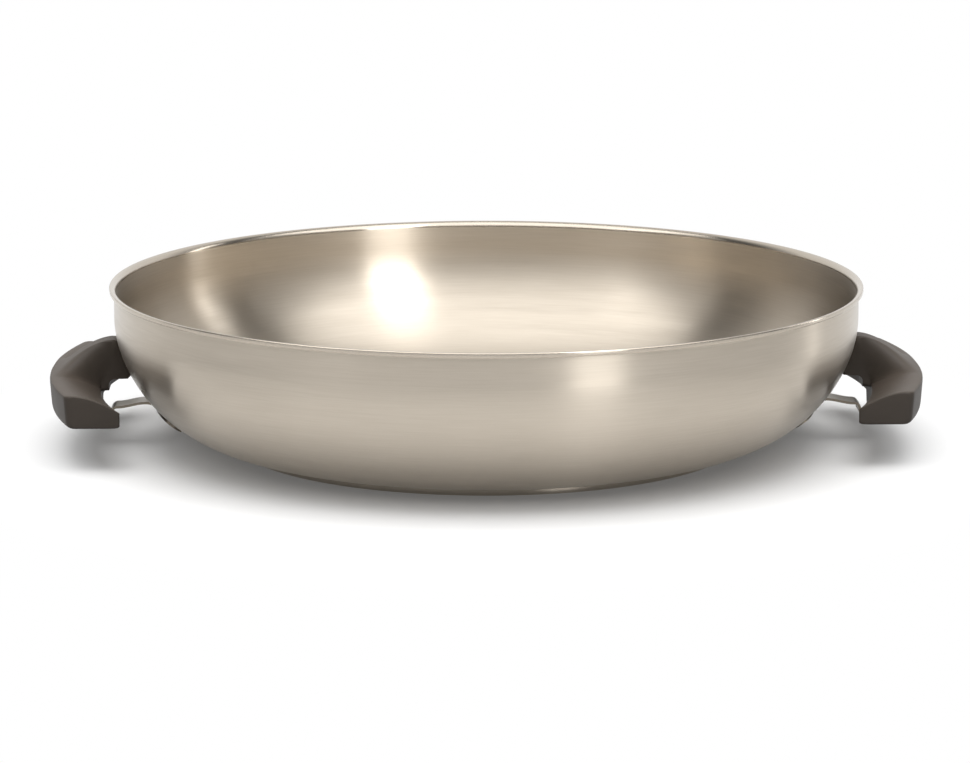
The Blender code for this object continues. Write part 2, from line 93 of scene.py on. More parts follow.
bpy.context.scene.camera = add_camera()
bpy.context.scene.view_settings.view_transform = "Standard"
print("lens", round(bpy.context.scene.camera.data.lens, 1), "mm")

# %% [markdown]
# ## Colours and nodes
#
# A screen colour is written as a hex value, but shaders work in linear light. One function turns
# the one into the other. A second one adds a shader node, sets it up and joins it to the nodes
# before it, so that a material reads from top to bottom.

# %% Helpers for materials
def linear(hex_colour):
    """Linear colour with alpha from an sRGB hex value."""
    colour = []
    for i in (1, 3, 5):
        share = int(hex_colour[i:i + 2], 16) / 255
        colour.append(share / 12.92 if share <= 0.04045 else ((share + 0.055) / 1.055) ** 2.4)
    return tuple(colour) + (1.0,)


def add_node(tree, kind, inputs=None, **settings):
    """Node with its settings, its input values and its links from other nodes' outputs."""
    node = tree.nodes.new(kind)
    for name, value in settings.items():
        setattr(node, name, value)
    for name, value in (inputs or {}).items():
        if isinstance(value, bpy.types.NodeSocket):
            tree.links.new(value, node.inputs[name])
        else:
            node.inputs[name].default_value = value
    return node


def new_material(name):
    """Material with an empty node tree, and that tree."""
    material = bpy.data.materials.new(name)
    material.use_nodes = True
    material.node_tree.nodes.clear()
    return material, material.node_tree


print("mid grey in linear light", round(linear("#808080")[0], 3))

# %% [markdown]
# ## Floor and backdrop
#
# The wok stands on white paper that runs on behind it without an edge. The paper is a wide flat
# sheet here, and the backdrop is the world. Close to the wok the paper is a plain lit surface,
# which takes the shadow, and further out it turns to pure white for the camera and reflections.
# Strong lamps on a real backdrop could do the same, but they would light the wok from all sides.

# %% Floor
WHITE = "#FFFFFF"
FLOOR_SIZE = 60.0
PAPER_GREY = "#6E6E6E"              # the paper as it lights the plastic
PAPER_SHOWN = "#C4C4C4"             # the paper as camera and steel see it close to the wok
SHADOW_LIFT = 0.10                  # share of pure white that the shadow keeps
WHITE_SHAPE = (1.12, 1.0, 0.0)      # the paper turns white a little sooner at the sides
WHITE_FROM = 0.19                   # in metres from the middle of the wok
WHITE_AT = 0.30
TABLE_SHAPE = (0.9, 1.15, 0.0)      # in reflections the lit table ends sooner in front
TABLE_FROM = 0.50
TABLE_END = 1.05


def add_floor():
    """Sheet of paper under the wok."""
    bm = bmesh.new()
    bmesh.ops.create_grid(bm, x_segments=1, y_segments=1, size=FLOOR_SIZE / 2)
    sheet = bpy.data.meshes.new("paper_floor")
    bm.to_mesh(sheet)
    bm.free()
    floor = bpy.data.objects.new("paper_floor", sheet)
    bpy.context.scene.collection.objects.link(floor)
    return floor


def ring_share(tree, shape, start, end, first, last):
    """Value that goes smoothly from first to last between two rings of this shape."""
    place = add_node(tree, "ShaderNodeTexCoord").outputs["Object"]
    oval = add_node(tree, "ShaderNodeVectorMath", {0: place, 1: shape}, operation="MULTIPLY")
    away = add_node(tree, "ShaderNodeVectorMath", {0: oval.outputs[0]}, operation="LENGTH")
    share = add_node(tree, "ShaderNodeMapRange",
                     {"Value": away.outputs["Value"], "From Min": start, "From Max": end,
                      "To Min": first, "To Max": last}, interpolation_type="SMOOTHSTEP")
    return share.outputs["Result"]


def paper_material():
    """White paper that shows pure white away from the wok and keeps the shadow under it."""
    material, tree = new_material("white_paper")
    path = add_node(tree, "ShaderNodeLightPath")
    camera, glossy = path.outputs["Is Camera Ray"], path.outputs["Is Glossy Ray"]
    seen = add_node(tree, "ShaderNodeMath", {0: camera, 1: glossy}, operation="MAXIMUM")
    tint = add_node(tree, "ShaderNodeMix", {"Factor": seen.outputs[0], "A": linear(PAPER_GREY),
                                            "B": linear(PAPER_SHOWN)}, data_type="RGBA")
    paper = add_node(tree, "ShaderNodeBsdfDiffuse", {"Color": tint.outputs["Result"]})
    white = add_node(tree, "ShaderNodeEmission", {"Color": linear(WHITE), "Strength": 1.0})
    clear = ring_share(tree, WHITE_SHAPE, WHITE_FROM, WHITE_AT, SHADOW_LIFT, 1.0)
    fade = ring_share(tree, TABLE_SHAPE, TABLE_FROM, TABLE_END, 1.0, 0.0)
    table = add_node(tree, "ShaderNodeMath", {0: glossy, 1: fade}, operation="MULTIPLY")
    lit = add_node(tree, "ShaderNodeMath", {0: camera, 1: table.outputs[0]}, operation="MAXIMUM")
    share = add_node(tree, "ShaderNodeMath", {0: lit.outputs[0], 1: clear}, operation="MULTIPLY")
    both = add_node(tree, "ShaderNodeMixShader", {0: share.outputs[0], 1: paper.outputs[0],
                                                  2: white.outputs[0]})
    add_node(tree, "ShaderNodeOutputMaterial", {"Surface": both.outputs[0]})
    return material


floor = add_floor()
paper = paper_material()
paper.cycles.emission_sampling = "NONE"
floor.data.materials.append(paper)
print("paper", FLOOR_SIZE, "m, white from", WHITE_AT, "m on")

# %% World
ROOM_LEVEL = 0.14            # light of the dim room, where white is 1
BACK_FROM = 0.2              # the backdrop is behind the wok: how far back a reflected ray
BACK_AT = 0.6                # has to point to begin to see it, and to see all of it


def light_the_world():
    """Dim room, with a white backdrop for the camera and, behind the wok, for reflections."""
    world = bpy.data.worlds.new("studio")
    bpy.context.scene.world = world
    world.use_nodes = True
    world.cycles.sampling_method = "NONE"
    tree = world.node_tree
    tree.nodes.clear()
    path = add_node(tree, "ShaderNodeLightPath")
    place = add_node(tree, "ShaderNodeTexCoord").outputs["Generated"]
    depth = add_node(tree, "ShaderNodeSeparateXYZ", {0: place}).outputs["Y"]
    behind = add_node(tree, "ShaderNodeMapRange", {"Value": depth, "From Min": BACK_FROM,
                                                   "From Max": BACK_AT})
    camera, glossy = path.outputs["Is Camera Ray"], path.outputs["Is Glossy Ray"]
    mirrored = add_node(tree, "ShaderNodeMath", {0: glossy, 1: behind.outputs["Result"]},
                        operation="MULTIPLY")
    seen = add_node(tree, "ShaderNodeMath", {0: camera, 1: mirrored.outputs[0]},
                    operation="MAXIMUM")
    level = add_node(tree, "ShaderNodeMapRange", {"Value": seen.outputs[0], "To Min": ROOM_LEVEL,
                                                  "To Max": 1.0})
    sky = add_node(tree, "ShaderNodeBackground", {"Color": linear(WHITE),
                                                  "Strength": level.outputs["Result"]})
    add_node(tree, "ShaderNodeOutputWorld", {"Surface": sky.outputs[0]})


light_the_world()
print("room level", ROOM_LEVEL)

# %% [markdown]
# ## Lamps
#
# Brushed steel shows its surroundings as soft upright bands, so lamps stand where the bowl mirrors
# them. A wide softbox over the wok makes the inside glow. A tall one in front to the right is the
# bright band on the wall and inside the bowl, a strip at the right is the thin one, and two weak
# panels fill the sides. These last four are cards, which only reflections see. So they can be set
# for the steel alone. The handles and paper get most of their light from a wash straight above,
# which no reflection sees.

# %% Lamps
AIM = Vector((0, 0, 0.04))


def add_softbox(name, azimuth, elevation, distance, width, height, strength,
                card=False, wash=False):
    """Rectangular lamp at an angle to the right of the camera, with a given radiance."""
    lamp = bpy.data.lights.new(name, "AREA")
    lamp.shape = "RECTANGLE"
    lamp.size = width
    lamp.size_y = height
    lamp.energy = strength * math.pi * width * height
    box = bpy.data.objects.new(name, lamp)
    bpy.context.scene.collection.objects.link(box)
    a, e = math.radians(azimuth), math.radians(elevation)
    direction = Vector((math.sin(a) * math.cos(e), -math.cos(a) * math.cos(e), math.sin(e)))
    box.location = AIM + direction * distance
    box.rotation_euler = direction.to_track_quat("Z", "Y").to_euler()
    box.visible_diffuse = not card
    box.visible_glossy = not wash
    print(name, width, "x", height, "m")


add_softbox("overhead_softbox", azimuth=-3, elevation=66, distance=1.5,
            width=3.4, height=2.3, strength=2.05)
add_softbox("top_wash", azimuth=0, elevation=89, distance=1.6,
            width=2.0, height=2.0, strength=4.2, wash=True)
add_softbox("tall_softbox", azimuth=31.2, elevation=25, distance=3.0,
            width=0.82, height=2.6, strength=4.2, card=True)
add_softbox("edge_strip", azimuth=110, elevation=14, distance=1.6,
            width=0.16, height=1.1, strength=3.6, card=True)
add_softbox("left_panel", azimuth=-72, elevation=34, distance=2.0,
            width=1.3, height=1.0, strength=0.6, card=True)
add_softbox("right_panel", azimuth=72, elevation=34, distance=2.0,
            width=1.3, height=1.0, strength=0.5, card=True)

# %% [markdown]
# ## The bowl
#
# A bowl like this is drawn and spun from one steel disc, so every cut through its axis is the
# same line. A box could be sculpted into it, but a revolve is what the factory does: one profile,
# turned about the upright axis. The profile is flat, rises through a curve a little straighter
# than an ellipse, stands upright under the rim and turns outwards into a lip with a flat edge.

# %% Sizes of the bowl in metres
FIT = 0.0003                 # gap that pieces keep from each other
BOWL_RADIUS = 0.1778         # outside of the upright wall
BOWL_SHEET = 0.0012
CURVE_TOP = 0.0622           # where the curve meets the upright wall
FOOT_RADIUS = 0.1219
WALL_FULLNESS = 1.82         # exponent of the curve, 2 is an ellipse and 1 a straight cone
LIP_REACH = 0.0022
LIP_HEIGHT = 0.0022
LIP_BEND = 0.0006            # radius between wall and lip
LIP_CORNER = 0.0006          # radius of the lip's outer corners
BASE_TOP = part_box("pan_body")[0].z
STEPS_ROUND = 256
SMALL_STEPS = 48
print("bottom of the bowl's sheet at", round(BASE_TOP * 1000, 2), "mm")


# %% Curves in a section
def blend(a, b, share):
    """Value that goes from a to b as share goes from 0 to 1."""
    return a + (b - a) * share


def ease(x):
    """Smooth step from 0 to 1, held outside that range."""
    x = min(max(x, 0.0), 1.0)
    return x * x * (3.0 - 2.0 * x)


def arc(centre, radius, start, end, count):
    """Points on an arc in a section, angles in degrees from the outward direction."""
    angles = [math.radians(blend(start, end, i / count)) for i in range(count + 1)]
    return [(centre[0] + radius * math.cos(a), centre[1] + radius * math.sin(a)) for a in angles]


def bezier(points, u):
    """Point at u on the curve with these control points."""
    points = [tuple(p) for p in points]
    while len(points) > 1:
        points = [tuple(blend(a, b, u) for a, b in zip(p, q)) for p, q in zip(points, points[1:])]
    return points[0]


def wall_point(turn):
    """Outer surface of the bowl, from the upright wall at turn 0 to the foot at turn 1."""
    angle = turn * math.pi / 2
    power = 2.0 / WALL_FULLNESS
    r = FOOT_RADIUS + (BOWL_RADIUS - FOOT_RADIUS) * max(math.cos(angle), 0.0) ** power
    z = CURVE_TOP - (CURVE_TOP - BASE_TOP) * math.sin(angle) ** power
    return r, z


def wall_radius(z):
    """Radius of the bowl's outer surface at a height."""
    if z >= CURVE_TOP:
        return BOWL_RADIUS
    drop = (CURVE_TOP - z) / (CURVE_TOP - BASE_TOP)
    return wall_point(math.asin(min(drop, 1.0) ** (WALL_FULLNESS / 2)) * 2 / math.pi)[0]


def wall_normal(z):
    """Outward direction of the bowl's outer surface at a height."""
    step = 0.00001
    rise, run = 2 * step, wall_radius(z + step) - wall_radius(z - step)
    length = math.hypot(rise, run)
    return rise / length, -run / length


print("wall's radius at half height", round(wall_radius(RIM_HEIGHT / 2) * 1000, 1), "mm")

# %% Meshes from sections
SHARP_ANGLE = math.radians(30)
SAME_POINT = 0.000002        # points closer than this are one


def finish_mesh(name, bm):
    """Mesh with its faces turned outwards, smooth except across sharp edges."""
    bmesh.ops.recalc_face_normals(bm, faces=bm.faces)
    mesh = bpy.data.meshes.new(name)
    bm.to_mesh(mesh)
    bm.free()
    mesh.shade_smooth()
    mesh.set_sharp_from_angle(angle=SHARP_ANGLE)
    return mesh


def turned(name, outline, steps, axis_at=0.0):
    """Solid of revolution from an outline of (radius, height) that starts and ends on the axis."""
    bm = bmesh.new()
    corners = [bm.verts.new((r, 0.0, z)) for r, z in outline]
    edges = [bm.edges.new(pair) for pair in zip(corners, corners[1:])]
    bmesh.ops.spin(bm, geom=corners + edges, cent=(0, 0, 0), axis=(0, 0, 1), steps=steps,
                   angle=2 * math.pi)
    bmesh.ops.remove_doubles(bm, verts=bm.verts, dist=SAME_POINT)
    bmesh.ops.translate(bm, verts=bm.verts, vec=(axis_at, 0.0, 0.0))
    return finish_mesh(name, bm)


def add_piece(name, mesh, node, turn=0.0):
    """Piece that rides on the wok and stands for a CAD node."""
    piece = bpy.data.objects.new(name, mesh)
    bpy.context.scene.collection.objects.link(piece)
    piece.rotation_euler.z = turn
    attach(piece, "root")
    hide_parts(node)
    print(name, len(mesh.polygons), "faces")
    return piece


# %% Bowl
FOOT_START = 0.0001          # height above the foot from which the curve has a clear direction


def bowl_outline():
    """Profile of the sheet: outside from the axis to the lip, then inside back to the axis."""
    curve = [wall_point(1 - i / 44) for i in range(45)]
    bottom = [(FOOT_RADIUS * i / 12, BASE_TOP) for i in range(12)]
    inner = [(r, z + BOWL_SHEET) for r, z in bottom]
    for r, z in curve:
        out, up = wall_normal(min(max(z, BASE_TOP + FOOT_START), CURVE_TOP))
        inner.append((r - out * BOWL_SHEET, z - up * BOWL_SHEET))
    lip_low = RIM_HEIGHT - LIP_HEIGHT
    rim = BOWL_RADIUS + LIP_REACH - LIP_CORNER
    turn = BOWL_SHEET + LIP_REACH - LIP_CORNER
    inside = BOWL_RADIUS - BOWL_SHEET
    under = arc((BOWL_RADIUS + LIP_BEND, lip_low - LIP_BEND), LIP_BEND, 180, 90, 8)
    tip = arc((rim, lip_low + LIP_CORNER), LIP_CORNER, -90, 0, 6)
    tip += arc((rim, RIM_HEIGHT - LIP_CORNER), LIP_CORNER, 0, 90, 6)
    over = arc((inside + turn, RIM_HEIGHT - turn), turn, 90, 180, 12)
    upright = [(inside, blend(RIM_HEIGHT - turn, CURVE_TOP, i / 6)) for i in range(1, 6)]
    return bottom + curve + under + tip + over + upright + inner[::-1]


bowl_mesh = turned("bowl", bowl_outline(), STEPS_ROUND)
bowl = add_piece("bowl", bowl_mesh, "pan_body")

# %% [markdown]
# ## The base
#
# Under the bowl lies a thick aluminium plate that spreads the heat, pressed into a shallow steel
# dish. Only the dish's edge shows from outside, as a fine line just above the floor. It is one
# more revolve, and the plate keeps its CAD solid, since nobody sees it.

# %% Base dish
CAP_SHEET = 0.0008
CAP_CORNER = 0.0022          # radius of the dish's edge


def dish_outline():
    """Profile of the pressed dish."""
    top = BASE_TOP - FIT
    centre = (FOOT_RADIUS - CAP_CORNER, CAP_CORNER)
    flat = [((FOOT_RADIUS - CAP_CORNER) * i / 10, 0.0) for i in range(10)]
    outer = arc(centre, CAP_CORNER, -90, 0, 10)
    inner = arc(centre, CAP_CORNER - CAP_SHEET, 0, -90, 8)
    rim = [(FOOT_RADIUS, top), (FOOT_RADIUS - CAP_SHEET, top)]
    return flat + outer + rim + inner + [(0.0, CAP_SHEET)]


dish_mesh = turned("base_dish", dish_outline(), STEPS_ROUND)
dish = add_piece("base_dish", dish_mesh, "base_cap")

# %% [markdown]
# ## The handles
#
# Each handle is one moulding: a low bar that follows the bowl's curve, and a neck that rises out
# of its middle and bears on the wall. Sculpting would lose the sizes. So the handle is lofted:
# a section of the neck and a section of the bar are drawn with the same number of points, and each
# slice in between is a blend of the two, quick at the wall and slow at the shoulders. The arched
# hollow under the neck runs straight across, so it is cut out afterwards, as its mould's core does.

# %% Sizes of the bar
GRIP_INNER = 0.1848          # radius of the face towards the bowl
GRIP_OUTER = 0.2089
GRIP_HALF_LENGTH = 0.0680
GRIP_UNDERSIDE = 0.0207
GRIP_OUTER_TOP = 0.0359
GRIP_INNER_TOP = 0.0281
GRIP_DRAFT = 0.0009          # lean of the outer face, which lets the moulding out of its mould
GRIP_CROWN = 0.0016          # bulge of the top, and how far it lies from the outer edge
GRIP_CROWN_INSET = 0.0030
GRIP_BELLY = 0.0025          # radius along the lower outer edge
GRIP_END_CORNER = 0.0024     # radius of the outer corner at each end
GRIP_END_EDGE = 0.0010       # radius of the other edges there
print("bar", round(2000 * GRIP_HALF_LENGTH), "mm long,",
      round(1000 * (GRIP_OUTER - GRIP_INNER), 1), "mm deep")

# %% Sizes of the neck, the hollow under it and the boss
NECK_TOP = 0.0511            # height at which the neck ends on the wall
CREST_LEAN = 0.0060          # pull of the crest's curve at the bar's outer edge
CREST_RISE = 0.0003
CREST_RUN = 0.0145           # and at the wall
CREST_LIFT = 0.0008
HOLLOW_ROOF = 0.0321
HOLLOW_OUTER = 0.1807
HOLLOW_CORNER = 0.0030
HOLLOW_LEDGE = 0.0264        # height of the step in the hollow's outer edge
NECK_TIP = 0.0343            # the hollow's roof slopes up to this height at the wall
BOSS_UNDERSIDE = 0.0116
BOSS_OUTER = 0.2029
BOSS_EDGE = 0.0004
print("neck rises", round(1000 * (NECK_TOP - GRIP_OUTER_TOP), 1), "mm above the bar")


# %% Sections of the handle
def curve(controls, count):
    """Points on a curve, without its last one."""
    return [bezier(controls, i / count) for i in range(count)]


def outer_face(corner_points, face_points):
    """Rounding along the lower outer edge of the bar, then its slightly drafted outer face."""
    centre = (GRIP_OUTER - GRIP_DRAFT - GRIP_BELLY, GRIP_UNDERSIDE + GRIP_BELLY)
    corner = arc(centre, GRIP_BELLY, -90, 0, corner_points)
    return corner[:-1], curve([corner[-1], (GRIP_OUTER, GRIP_OUTER_TOP)], face_points)


def neck_runs():
    """Section in the middle of the handle, run by run from the boss outwards and round."""
    corner, outside = outer_face(6, 10)
    wall_top = (wall_radius(NECK_TOP) + FIT, NECK_TOP)
    crest = [(GRIP_OUTER, GRIP_OUTER_TOP), (GRIP_OUTER - CREST_LEAN, GRIP_OUTER_TOP + CREST_RISE),
             (wall_top[0] + CREST_RUN, NECK_TOP + CREST_LIFT), wall_top]
    tip = (wall_radius(HOLLOW_ROOF) + FIT, HOLLOW_ROOF)
    bearing = [blend(NECK_TOP, HOLLOW_ROOF, i / 14) for i in range(14)]
    ledge = (HOLLOW_OUTER - HOLLOW_CORNER, HOLLOW_LEDGE)
    heel = (GRIP_INNER, HOLLOW_LEDGE)
    bar_low = (GRIP_INNER, GRIP_UNDERSIDE)
    foot = (GRIP_INNER, BOSS_UNDERSIDE + BOSS_EDGE)
    return [
        curve([(GRIP_INNER + BOSS_EDGE, BOSS_UNDERSIDE), (BOSS_OUTER, BOSS_UNDERSIDE)], 10),
        curve([(BOSS_OUTER, BOSS_UNDERSIDE), (BOSS_OUTER + BOSS_EDGE, GRIP_UNDERSIDE)], 8),
        curve([(BOSS_OUTER + BOSS_EDGE, GRIP_UNDERSIDE), corner[0]], 3),
        corner,
        outside,
        curve(crest, 28),
        [(wall_radius(z) + FIT, z) for z in bearing],
        curve([tip, ledge], 6),
        curve([ledge, heel], 8),
        curve([heel, bar_low], 8),
        curve([bar_low, foot], 8),
    ]


def bar_runs(counts):
    """Section of the bar, with as many points in each run as the neck has."""
    corner, outside = outer_face(counts[3], counts[4])
    crown = (GRIP_OUTER - GRIP_CROWN_INSET, GRIP_OUTER_TOP + GRIP_CROWN)
    middle = (blend(GRIP_INNER, GRIP_OUTER, 0.5), GRIP_OUTER_TOP)
    top = [(GRIP_OUTER, GRIP_OUTER_TOP), crown, middle, (GRIP_INNER, GRIP_INNER_TOP)]
    boss_outer = (BOSS_OUTER + BOSS_EDGE, GRIP_UNDERSIDE)
    runs = [
        curve([(GRIP_INNER + BOSS_EDGE, GRIP_UNDERSIDE), (BOSS_OUTER, GRIP_UNDERSIDE)], counts[0]),
        curve([(BOSS_OUTER, GRIP_UNDERSIDE), boss_outer], counts[1]),
        curve([boss_outer, corner[0]], counts[2]),
        corner,
        outside,
        curve(top, counts[5]),
    ]
    heel = (GRIP_INNER, HOLLOW_LEDGE)
    face = curve([(GRIP_INNER, GRIP_INNER_TOP), heel], sum(counts[6:9]))
    face += curve([heel, (GRIP_INNER, GRIP_UNDERSIDE + BOSS_EDGE)], sum(counts[9:]))
    for count in counts[6:]:
        runs.append(face[:count])
        face = face[count:]
    return runs


print("points in a section", sum(len(run) for run in neck_runs()))

# %% How the neck flows into the bar
BOSS = (0.0092, 0.0030)          # half width, and the width over which it flows into the bar
SHOULDER = (0.0190, 0.0260)
NECK = (0.0070, 0.0030)
RUN_WIDTHS = 3 * [(BOSS, BOSS)] + 2 * [(SHOULDER, SHOULDER)] + [(SHOULDER, NECK)]
RUN_WIDTHS += 3 * [(NECK, NECK)] + 2 * [(BOSS, BOSS)]


def neck_share(run, u, y):
    """How much of the neck's section there is at a distance y from the middle of the handle."""
    first, last = RUN_WIDTHS[run]
    half, width = blend(first[0], last[0], u), blend(first[1], last[1], u)
    return 1.0 - ease((abs(y) - half) / width + 0.5)


def soften(points, passes):
    """Closed section with its corners rounded a little."""
    for _ in range(passes):
        ends = zip(points[-1:] + points[:-1], points, points[1:] + points[:1])
        points = [((a[0] + 2 * b[0] + c[0]) / 4, (a[1] + 2 * b[1] + c[1]) / 4) for a, b, c in ends]
    return points


def drawn_in(distance, radius):
    """How far a face draws in at this distance from an end that has this corner radius."""
    depth = max(radius - distance, 0.0)
    return radius - math.sqrt(max(radius * radius - depth * depth, 0.0))


def round_the_bowl(r, y, z):
    """Place of a section point at radius r on the upright plane that lies y off the middle."""
    return math.sqrt(r * r - y * y), y, z


def handle_section(y):
    """Points of the handle on the plane at y."""
    neck = neck_runs()
    bar = bar_runs([len(run) for run in neck])
    section = []
    for number, (neck_run, bar_run) in enumerate(zip(neck, bar)):
        for i, (middle, plain) in enumerate(zip(neck_run, bar_run)):
            share = neck_share(number, i / len(neck_run), y)
            section.append((blend(plain[0], middle[0], share), blend(plain[1], middle[1], share)))
    to_end = GRIP_HALF_LENGTH - abs(y)
    corner, edge = drawn_in(to_end, GRIP_END_CORNER), drawn_in(to_end, GRIP_END_EDGE)
    placed = []
    for r, z in soften(section, 3):
        outward = (r - GRIP_INNER) / (GRIP_OUTER - GRIP_INNER)
        upward = (z - GRIP_UNDERSIDE) / (GRIP_OUTER_TOP - GRIP_UNDERSIDE)
        radius = r + blend(edge, -corner, outward)
        placed.append(round_the_bowl(radius, y, z + blend(edge, -edge, upward)))
    return placed


print("share of the neck 20 mm from the middle", round(neck_share(5, 0.5, 0.020), 2))

# %% Handle meshes
SLICE = 0.00075              # between two slices where the neck flows into the bar
SLICED_TO = 0.0360


def stations():
    """Distances from the middle of the handle at which a slice is drawn."""
    middle = [i * SLICE for i in range(48)]
    corner_from = GRIP_HALF_LENGTH - GRIP_END_CORNER
    outer = [blend(SLICED_TO, corner_from, i / 15) for i in range(15)]
    turns = [math.sin(math.radians(angle)) for angle in range(0, 91, 9)]
    corner = [GRIP_HALF_LENGTH - GRIP_END_CORNER * (1 - turn) for turn in turns]
    half = middle + outer + corner
    return [-y for y in reversed(half[1:])] + half


def lofted(name, sections):
    """Solid through closed sections with equal point counts, capped at both ends."""
    bm = bmesh.new()
    rows = [[bm.verts.new(p) for p in section] for section in sections]
    for row, following in zip(rows, rows[1:]):
        for i in range(len(row)):
            j = (i + 1) % len(row)
            bm.faces.new((row[i], row[j], following[j], following[i]))
    bm.faces.new(rows[0])
    bm.faces.new(list(reversed(rows[-1])))
    return finish_mesh(name, bm)


def box_mesh(name, low, high):
    """Box between two corners."""
    bm = bmesh.new()
    bmesh.ops.create_cube(bm, size=1.0)
    for vertex in bm.verts:
        vertex.co = [blend(low[k], high[k], vertex.co[k] + 0.5) for k in range(3)]
    return finish_mesh(name, bm)


def cut_out(mesh, cutter_meshes):
    """Mesh after cutters have been taken out of it."""
    whole = bpy.data.objects.new("whole", mesh)
    bpy.context.scene.collection.objects.link(whole)
    cutters = []
    for cutter_mesh in cutter_meshes:
        cutter = bpy.data.objects.new("cutter", cutter_mesh)
        bpy.context.scene.collection.objects.link(cutter)
        step = whole.modifiers.new("cut", "BOOLEAN")
        step.operation = "DIFFERENCE"
        step.solver = "EXACT"
        step.object = cutter
        cutters.append(cutter)
    depsgraph = bpy.context.evaluated_depsgraph_get()
    result = bpy.data.meshes.new_from_object(whole.evaluated_get(depsgraph))
    for leftover in [whole] + cutters:
        bpy.data.objects.remove(leftover, do_unlink=True)
    result.shade_smooth()
    result.set_sharp_from_angle(angle=SHARP_ANGLE)
    return result


# %% Handle cut-outs
STRAP_TOP = 0.0130
STRAP_HALF_WIDTH = 0.0065
STRAP_TIP = 0.2010
SCREW_AXIS = 0.1948
INSERT_HOLE = 0.0040         # radius
INSERT_HOLE_TOP = 0.0226
CUT_PAST = 0.002             # how far a cutter reaches past the face that it cuts
SIDES = (("right", 0.0), ("left", math.pi))


def hollow():
    """Bar with the arched outline of the hollow, which runs right across the neck."""
    tip = (wall_radius(NECK_TIP) + FIT, NECK_TIP)
    slope = NECK_TIP - HOLLOW_ROOF
    corner = (HOLLOW_OUTER - HOLLOW_CORNER, HOLLOW_ROOF - HOLLOW_CORNER)
    outline = [(tip[0] - slope, tip[1] + slope), (tip[0] + slope, HOLLOW_ROOF)]
    outline += arc(corner, HOLLOW_CORNER, 90, 0, 12)
    outline += [(HOLLOW_OUTER, GRIP_UNDERSIDE), (tip[0] - slope, GRIP_UNDERSIDE)]
    reach = SHOULDER[0]
    return lofted("hollow", [[(r, y, z) for r, z in outline] for y in (-reach, reach)])


def strap_recess():
    """Box that takes in the strap's end, with the gap that all pieces keep."""
    side = STRAP_HALF_WIDTH + FIT
    return box_mesh("recess", (GRIP_INNER - CUT_PAST, -side, BOSS_UNDERSIDE - CUT_PAST),
                    (STRAP_TIP + FIT, side, STRAP_TOP + FIT))


def insert_hole():
    """Hole that the thread insert fills."""
    side = [(INSERT_HOLE, STRAP_TOP), (INSERT_HOLE, INSERT_HOLE_TOP)]
    outline = [(0, STRAP_TOP)] + side + [(0, INSERT_HOLE_TOP)]
    return turned("insert_hole", outline, SMALL_STEPS, SCREW_AXIS)


moulding = lofted("handle", [handle_section(y) for y in stations()])
handle_mesh = cut_out(moulding, [hollow(), strap_recess(), insert_hole()])
handles = [add_piece(f"{side}_moulded_handle", handle_mesh, f"{side}_handle", turn)
           for side, turn in SIDES]

# %% [markdown]
# ## The brackets
#
# A bent strip of steel carries each handle. Its wide plate is spot-welded to the bowl, and its
# narrow strap runs out under the handle, where a screw holds it. Sheet metal could be a plane with
# a Solidify modifier. Here both faces of the sheet are drawn as rows across a bent middle line, so
# that the thickness stays true in the tight bend, and a small bevel breaks the edges.

# %% Bracket
BRACKET_SHEET = 0.0012
PLATE_LOW = 0.0125
PLATE_HIGH = 0.0175
PLATE_HALF_WIDTH = 0.0360
PLATE_CORNER = 0.0040
STRAP_HIGH = 0.0196          # underside where the strap leaves the wall
STRAP_FALL = 0.0020          # how far it sinks before the step
STRAP_LOW = 0.0118           # underside after the step
STEP_GAP = 0.0044            # room between the step and the bar
STEP_BEND = 0.0026


def beside_wall(z, distance):
    """Point at a distance outside the bowl's surface, measured from the surface at height z."""
    out, up = wall_normal(z)
    return wall_radius(z) + out * distance, z + up * distance


def plate_and_bend(high):
    """Middle line of the plate on the wall and of the bend that turns it outwards."""
    heights = [blend(PLATE_LOW, PLATE_HIGH, i / 12) for i in range(13)]
    plate = [beside_wall(z, FIT + BRACKET_SHEET / 2) for z in heights]
    out, up = wall_normal(PLATE_HIGH)
    turn = (plate[-1][0] + (high - plate[-1][1]) * -up / out, high)
    after = (2 * turn[0] - plate[-1][0], high)
    return plate, [bezier([plate[-1], turn, after], i / 12) for i in range(1, 13)]


def strap_line(start, high, low):
    """Middle line of the strap, which sinks a little, steps down and runs on under the handle."""
    step = GRIP_INNER - STEP_GAP - BRACKET_SHEET / 2
    brow = high - STRAP_FALL
    shares = [i / 8 for i in range(1, 8)]
    ramp = [(blend(start, step - STEP_BEND, u), blend(high, brow, ease(u))) for u in shares]
    over = arc((step - STEP_BEND, brow - STEP_BEND), STEP_BEND, 90, 0, 9)
    under = arc((step + STEP_BEND, low + STEP_BEND), STEP_BEND, 180, 270, 9)
    straight = STRAP_TIP - STRAP_HALF_WIDTH
    flat = [(blend(step + STEP_BEND, straight, i / 5), low) for i in range(1, 6)]
    return ramp + over + under + flat


def bracket_rows():
    """Middle line of the sheet and its half width at each point."""
    high, low = STRAP_HIGH + BRACKET_SHEET / 2, STRAP_LOW + BRACKET_SHEET / 2
    plate, bend = plate_and_bend(high)
    strap = strap_line(bend[-1][0], high, low)
    widths = []
    for r, z in plate:
        corners = drawn_in(z - PLATE_LOW, PLATE_CORNER), drawn_in(PLATE_HIGH - z, PLATE_CORNER)
        widths.append(PLATE_HALF_WIDTH - corners[0] - corners[1])
    widths += [blend(widths[-1], STRAP_HALF_WIDTH, ease(2 * i / 12)) for i in range(1, 13)]
    widths += [STRAP_HALF_WIDTH] * len(strap)
    angles = [math.radians(a) for a in range(10, 90, 10)] + [math.radians(86)]
    tip = [(strap[-1][0] + STRAP_HALF_WIDTH * math.sin(a), low) for a in angles]
    widths += [STRAP_HALF_WIDTH * math.cos(a) for a in angles]
    return plate + bend + strap + tip, widths


